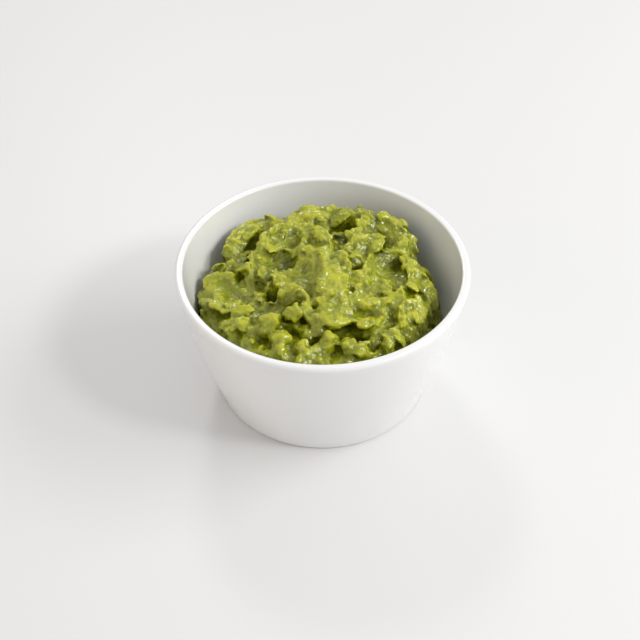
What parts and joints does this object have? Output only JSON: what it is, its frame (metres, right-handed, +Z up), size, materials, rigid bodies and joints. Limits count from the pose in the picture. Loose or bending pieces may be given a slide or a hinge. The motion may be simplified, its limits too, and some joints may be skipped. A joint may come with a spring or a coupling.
{
  "type": "guacamole",
  "caption": "Chunky mashed avocado dip heaped in a plain round white bowl with leaning walls; the dip and its bowl are built together.",
  "frame": {"origin": "centre of the bowl's foot, on the surface it stands on", "axes": "+Z up along the bowl's axis, -Y towards the front, +X to the right seen from the front"},
  "size_m": [0.126, 0.126, 0.0687],
  "materials": {
    "porcelain": "white glaze, glossy and smooth",
    "mashed_avocado": "moist mashed avocado, soft wet shine on lumps and folds"
  },
  "bodies": {
    "root": {"bowl": "porcelain", "guacamole": "mashed_avocado"}
  },
  "joints": []
}
